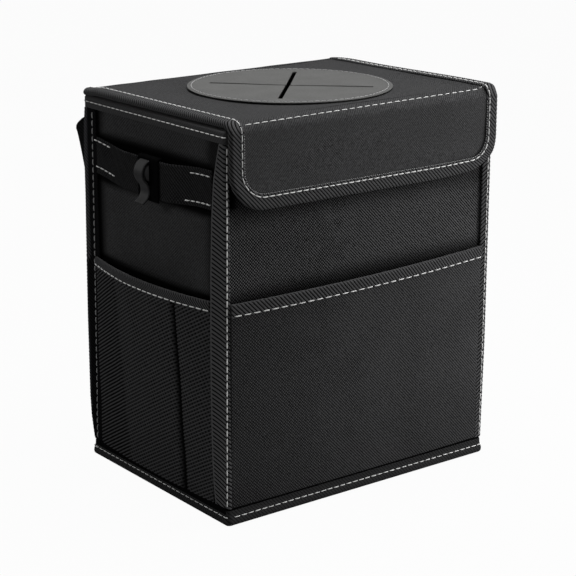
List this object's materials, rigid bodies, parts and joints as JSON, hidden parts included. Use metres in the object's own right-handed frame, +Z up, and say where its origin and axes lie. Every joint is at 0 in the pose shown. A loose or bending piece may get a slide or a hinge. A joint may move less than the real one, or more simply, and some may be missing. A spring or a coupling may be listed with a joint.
{
  "type": "car trash bin",
  "caption": "Soft box-shaped bin for a car, with a hinged lid, a slit rubber throw-in disc, a fold-down front flap, outside pockets, side straps with hooks and a hanging strap.",
  "frame": {"origin": "centre of the base's underside, on the floor", "axes": "+X to the right of someone facing the flap, +Y to the back with the hanging strap, +Z up"},
  "size_m": [0.2536, 0.215, 0.2721],
  "materials": {
    "oxford_cloth": "black twill-woven polyester cloth over board",
    "binding_tape": "black ribbed twill tape with pale stitches",
    "pocket_mesh": "black spacer mesh",
    "webbing": "black woven webbing",
    "hook_plastic": "dark grey moulded plastic",
    "touch_fastener": "black hook-and-loop tape",
    "lining": "grey coated waterproof lining",
    "grey_rubber": "matt grey moulded rubber"
  },
  "bodies": {
    "bin": {"base_panel": "oxford_cloth", "front_panel": "oxford_cloth", "back_panel": "oxford_cloth", "left_panel": "oxford_cloth", "right_panel": "oxford_cloth", "front_pocket": "oxford_cloth", "lid_hinge_strip": "oxford_cloth", "base_binding": "binding_tape", "rim_binding": "binding_tape", "corner_binding_front_left": "binding_tape", "corner_binding_front_right": "binding_tape", "corner_binding_rear_left": "binding_tape", "corner_binding_rear_right": "binding_tape", "front_pocket_binding": "binding_tape", "left_pocket_binding": "binding_tape", "right_pocket_binding": "binding_tape", "left_mesh_pocket": "pocket_mesh", "right_mesh_pocket": "pocket_mesh", "left_side_strap": "webbing", "right_side_strap": "webbing", "hanging_strap": "webbing", "strap_adjuster": "hook_plastic", "front_loop_tape": "touch_fastener", "liner": "lining"},
    "lid": {"lid_panel": "oxford_cloth", "lid_binding_left": "binding_tape", "lid_binding_right": "binding_tape", "rubber_insert": "grey_rubber"},
    "flap": {"flap_panel": "oxford_cloth", "flap_binding": "binding_tape", "flap_hook_tape": "touch_fastener"},
    "left_hook": {"left_hook": "hook_plastic"},
    "right_hook": {"right_hook": "hook_plastic"}
  },
  "joints": [
    {"name": "lid_hinge", "type": "hinge", "parent": "bin", "child": "lid", "pos_m": [0, 0.0867, 0.2689], "axis": [-1, 0, 0], "range_deg": [0, 200]},
    {"name": "flap_fold", "type": "hinge", "parent": "lid", "child": "flap", "pos_m": [0, -0.0872, 0.2689], "axis": [-1, 0, 0], "range_deg": [0, 120]},
    {"name": "left_hook_slide", "type": "slide", "parent": "bin", "child": "left_hook", "axis": [0, 1, 0], "range_m": [-0.0025, 0.015]},
    {"name": "right_hook_slide", "type": "slide", "parent": "bin", "child": "right_hook", "axis": [0, 1, 0], "range_m": [-0.0025, 0.015]}
  ]
}
